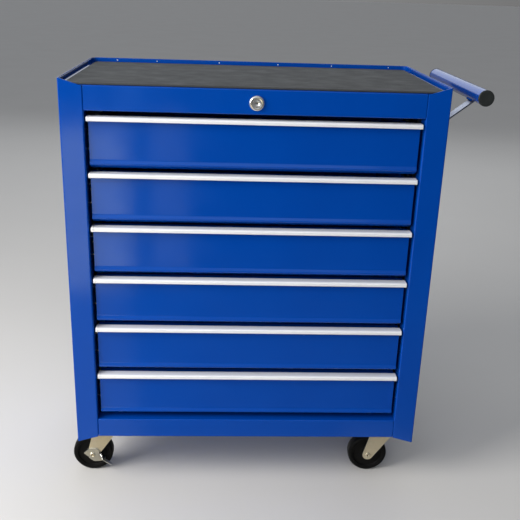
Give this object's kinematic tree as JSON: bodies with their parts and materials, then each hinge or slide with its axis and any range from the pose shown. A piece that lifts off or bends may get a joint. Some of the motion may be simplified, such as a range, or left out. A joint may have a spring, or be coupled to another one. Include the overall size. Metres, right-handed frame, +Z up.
{
  "type": "tool cart",
  "caption": "Steel roller cabinet with drawers behind full-width pulls, a rimmed and matted worktop, a side push handle and swivel casters.",
  "frame": {"origin": "on the floor under the middle of the object's bounding box", "axes": "+Z up, the drawers open towards -Y, the push handle is at +X"},
  "size_m": [0.7038, 0.328, 0.738],
  "materials": {
    "blue_paint": "glossy blue powder coat",
    "worktop_mat": "matt dark grey sheet",
    "pull_aluminium": "satin anodised extrusion",
    "zinc_steel": "bright zinc plate",
    "lock_chrome": "polished",
    "wheel_black": "smooth black",
    "cap_black": "moulded black"
  },
  "bodies": {
    "root": {"side_panel_left": "blue_paint", "side_panel_right": "blue_paint", "back_panel": "blue_paint", "top_tray": "blue_paint", "top_mat": "worktop_mat", "top_rail": "blue_paint", "bottom_rail": "blue_paint", "bottom_pan": "blue_paint", "slide_rack_left": "zinc_steel", "slide_rack_right": "zinc_steel", "caster_front_left_plate": "zinc_steel", "caster_front_right_plate": "zinc_steel", "caster_rear_left_plate": "zinc_steel", "caster_rear_right_plate": "zinc_steel", "handle_tube": "blue_paint", "handle_cap_front": "cap_black", "handle_cap_rear": "cap_black", "handle_bracket_front": "zinc_steel", "handle_bracket_rear": "zinc_steel", "lock_housing": "lock_chrome"},
    "drawer_1": {"drawer_1_box": "blue_paint", "drawer_1_pull": "pull_aluminium", "drawer_1_slide_left": "zinc_steel", "drawer_1_slide_right": "zinc_steel"},
    "drawer_2": {"drawer_2_box": "blue_paint", "drawer_2_pull": "pull_aluminium", "drawer_2_slide_left": "zinc_steel", "drawer_2_slide_right": "zinc_steel"},
    "drawer_3": {"drawer_3_box": "blue_paint", "drawer_3_pull": "pull_aluminium", "drawer_3_slide_left": "zinc_steel", "drawer_3_slide_right": "zinc_steel"},
    "drawer_4": {"drawer_4_box": "blue_paint", "drawer_4_pull": "pull_aluminium", "drawer_4_slide_left": "zinc_steel", "drawer_4_slide_right": "zinc_steel"},
    "drawer_5": {"drawer_5_box": "blue_paint", "drawer_5_pull": "pull_aluminium", "drawer_5_slide_left": "zinc_steel", "drawer_5_slide_right": "zinc_steel"},
    "drawer_6": {"drawer_6_box": "blue_paint", "drawer_6_pull": "pull_aluminium", "drawer_6_slide_left": "zinc_steel", "drawer_6_slide_right": "zinc_steel"},
    "caster_front_left_swivel": {"caster_front_left_fork": "zinc_steel", "caster_front_left_axle": "zinc_steel"},
    "caster_front_left_wheel": {"caster_front_left_wheel": "wheel_black"},
    "caster_front_left_brake": {"caster_front_left_brake": "zinc_steel"},
    "caster_front_right_swivel": {"caster_front_right_fork": "zinc_steel", "caster_front_right_axle": "zinc_steel"},
    "caster_front_right_wheel": {"caster_front_right_wheel": "wheel_black"},
    "caster_rear_left_swivel": {"caster_rear_left_fork": "zinc_steel", "caster_rear_left_axle": "zinc_steel"},
    "caster_rear_left_wheel": {"caster_rear_left_wheel": "wheel_black"},
    "caster_rear_left_brake": {"caster_rear_left_brake": "zinc_steel"},
    "caster_rear_right_swivel": {"caster_rear_right_fork": "zinc_steel", "caster_rear_right_axle": "zinc_steel"},
    "caster_rear_right_wheel": {"caster_rear_right_wheel": "wheel_black"},
    "lock_core": {"lock_core": "lock_chrome"},
    "lock_bar": {"lock_bar": "zinc_steel"}
  },
  "joints": [
    {"name": "drawer_1_slide", "type": "slide", "parent": "root", "child": "drawer_1", "axis": [0, -1, 0], "range_m": [0, 0.2]},
    {"name": "drawer_2_slide", "type": "slide", "parent": "root", "child": "drawer_2", "axis": [0, -1, 0], "range_m": [0, 0.2]},
    {"name": "drawer_3_slide", "type": "slide", "parent": "root", "child": "drawer_3", "axis": [0, -1, 0], "range_m": [0, 0.2]},
    {"name": "drawer_4_slide", "type": "slide", "parent": "root", "child": "drawer_4", "axis": [0, -1, 0], "range_m": [0, 0.2]},
    {"name": "drawer_5_slide", "type": "slide", "parent": "root", "child": "drawer_5", "axis": [0, -1, 0], "range_m": [0, 0.2]},
    {"name": "drawer_6_slide", "type": "slide", "parent": "root", "child": "drawer_6", "axis": [0, -1, 0], "range_m": [0, 0.2]},
    {"name": "caster_front_left_swivel", "type": "hinge", "parent": "root", "child": "caster_front_left_swivel", "pos_m": [-0.28785, -0.11, 0.0905], "axis": [0, 0, 1], "continuous": true},
    {"name": "caster_front_left_spin", "type": "hinge", "parent": "caster_front_left_swivel", "child": "caster_front_left_wheel", "pos_m": [-0.31485, -0.11, 0.037], "axis": [0, 1, 0], "continuous": true},
    {"name": "caster_front_left_brake", "type": "hinge", "parent": "caster_front_left_swivel", "child": "caster_front_left_brake", "pos_m": [-0.31485, -0.11, 0.037], "axis": [0, 1, 0], "range_deg": [-25, 0]},
    {"name": "caster_front_right_swivel", "type": "hinge", "parent": "root", "child": "caster_front_right_swivel", "pos_m": [0.23615, -0.11, 0.0905], "axis": [0, 0, 1], "continuous": true},
    {"name": "caster_front_right_spin", "type": "hinge", "parent": "caster_front_right_swivel", "child": "caster_front_right_wheel", "pos_m": [0.20915, -0.11, 0.037], "axis": [0, 1, 0], "continuous": true},
    {"name": "caster_rear_left_swivel", "type": "hinge", "parent": "root", "child": "caster_rear_left_swivel", "pos_m": [-0.28785, 0.114, 0.0905], "axis": [0, 0, 1], "continuous": true},
    {"name": "caster_rear_left_spin", "type": "hinge", "parent": "caster_rear_left_swivel", "child": "caster_rear_left_wheel", "pos_m": [-0.31485, 0.114, 0.037], "axis": [0, 1, 0], "continuous": true},
    {"name": "caster_rear_left_brake", "type": "hinge", "parent": "caster_rear_left_swivel", "child": "caster_rear_left_brake", "pos_m": [-0.31485, 0.114, 0.037], "axis": [0, 1, 0], "range_deg": [-25, 0]},
    {"name": "caster_rear_right_swivel", "type": "hinge", "parent": "root", "child": "caster_rear_right_swivel", "pos_m": [0.23615, 0.114, 0.0905], "axis": [0, 0, 1], "continuous": true},
    {"name": "caster_rear_right_spin", "type": "hinge", "parent": "caster_rear_right_swivel", "child": "caster_rear_right_wheel", "pos_m": [0.20915, 0.114, 0.037], "axis": [0, 1, 0], "continuous": true},
    {"name": "lock_turn", "type": "hinge", "parent": "root", "child": "lock_core", "pos_m": [-0.02585, -0.16, 0.7068], "axis": [0, 1, 0], "range_deg": [0, 90]},
    {"name": "lock_bar_drop", "type": "slide", "parent": "root", "child": "lock_bar", "axis": [0, 0, -1], "range_m": [0, 0.0099]}
  ],
  "couplings": [
    {"joint": "lock_turn", "follows": "lock_bar_drop", "rad_per_m": 158.66}
  ]
}
